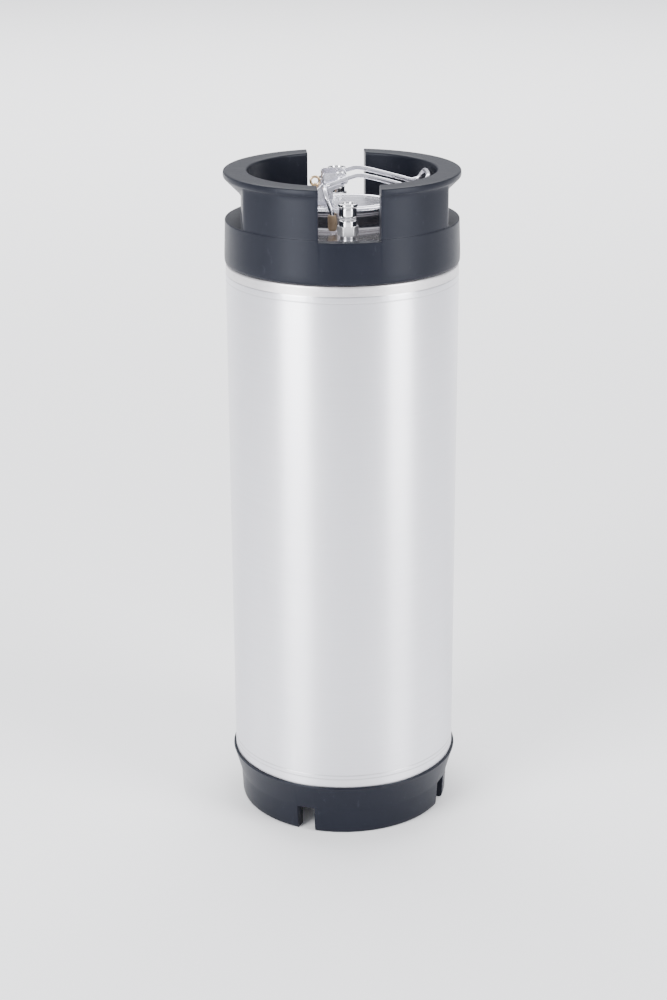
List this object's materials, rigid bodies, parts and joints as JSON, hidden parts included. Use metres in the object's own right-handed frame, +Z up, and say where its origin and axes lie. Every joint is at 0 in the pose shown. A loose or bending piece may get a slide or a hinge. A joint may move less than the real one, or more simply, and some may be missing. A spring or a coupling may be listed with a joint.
{
  "type": "beer keg",
  "caption": "Upright stainless beer keg with a rubber handle ring and boot, an oval lid locked by a wire bail, a relief valve, and two ball-lock posts with sprung poppets.",
  "frame": {"origin": "centre of the floor face of the rubber boot", "axes": "+Z up the keg, gas post on -Y, liquid post on +Y, bail handle towards +X"},
  "size_m": [0.219, 0.219, 0.622],
  "materials": {
    "satin_steel": "satin brushed stainless",
    "polished_steel": "polished stainless",
    "spring_steel": "drawn spring wire",
    "black_rubber": "matte moulded rubber",
    "seal_rubber": "smooth seal rubber",
    "clear_silicone": "pale silicone rubber",
    "foot_rubber": "tan moulded rubber",
    "brass": "bright turned brass"
  },
  "bodies": {
    "vessel": {"shell_cylinder": "satin_steel", "top_girth_weld": "satin_steel", "bottom_girth_weld": "satin_steel", "top_head": "satin_steel", "bottom_head": "satin_steel", "handle_ring": "black_rubber", "boot": "black_rubber", "gas_port": "satin_steel", "gas_post": "polished_steel", "gas_post_oring": "clear_silicone", "gas_poppet_spring": "spring_steel", "gas_dip_tube": "satin_steel", "liquid_port": "satin_steel", "liquid_post": "polished_steel", "liquid_post_oring": "clear_silicone", "liquid_poppet_spring": "spring_steel", "liquid_dip_tube": "satin_steel"},
    "lid": {"lid": "satin_steel", "lid_oring": "seal_rubber", "bail_ear_front": "satin_steel", "bail_ear_rear": "satin_steel", "bail_pin_front": "polished_steel", "bail_pin_rear": "polished_steel", "prv_body": "brass", "prv_nut": "brass", "prv_cap": "brass", "prv_spring": "spring_steel"},
    "bail": {"bail": "satin_steel", "bail_foot_front": "foot_rubber", "bail_foot_rear": "foot_rubber"},
    "prv_stem": {"prv_stem": "brass", "prv_seal": "seal_rubber"},
    "prv_pull_ring": {"prv_pull_ring": "brass"},
    "gas_poppet": {"gas_poppet": "polished_steel", "gas_poppet_seal": "seal_rubber"},
    "liquid_poppet": {"liquid_poppet": "polished_steel", "liquid_poppet_seal": "seal_rubber"}
  },
  "joints": [
    {"name": "lid_drop", "type": "slide", "parent": "vessel", "child": "lid", "axis": [0, 0, -1], "range_m": [0, 0.002]},
    {"name": "bail_swing", "type": "hinge", "parent": "lid", "child": "bail", "pos_m": [-0.001, 0, 0.614], "axis": [0, -1, 0], "range_deg": [0, 90]},
    {"name": "prv_lift", "type": "slide", "parent": "lid", "child": "prv_stem", "axis": [0, 0, 1], "range_m": [0, 0.0025], "stiffness_N_per_m": 3000, "springref_m": -0.002, "deforming": ["prv_spring"]},
    {"name": "prv_ring_swing", "type": "hinge", "parent": "prv_stem", "child": "prv_pull_ring", "pos_m": [-0.0245, 0, 0.6066], "axis": [1, 0, 0], "range_deg": [-70, 70]},
    {"name": "gas_poppet_push", "type": "slide", "parent": "vessel", "child": "gas_poppet", "axis": [0, 0, -1], "range_m": [0, 0.003], "stiffness_N_per_m": 900, "springref_m": -0.002, "deforming": ["gas_poppet_spring"]},
    {"name": "liquid_poppet_push", "type": "slide", "parent": "vessel", "child": "liquid_poppet", "axis": [0, 0, -1], "range_m": [0, 0.003], "stiffness_N_per_m": 900, "springref_m": -0.002, "deforming": ["liquid_poppet_spring"]}
  ],
  "couplings": [
    {"joint": "bail_swing", "follows": "lid_drop", "rad_per_m": 785.4}
  ]
}
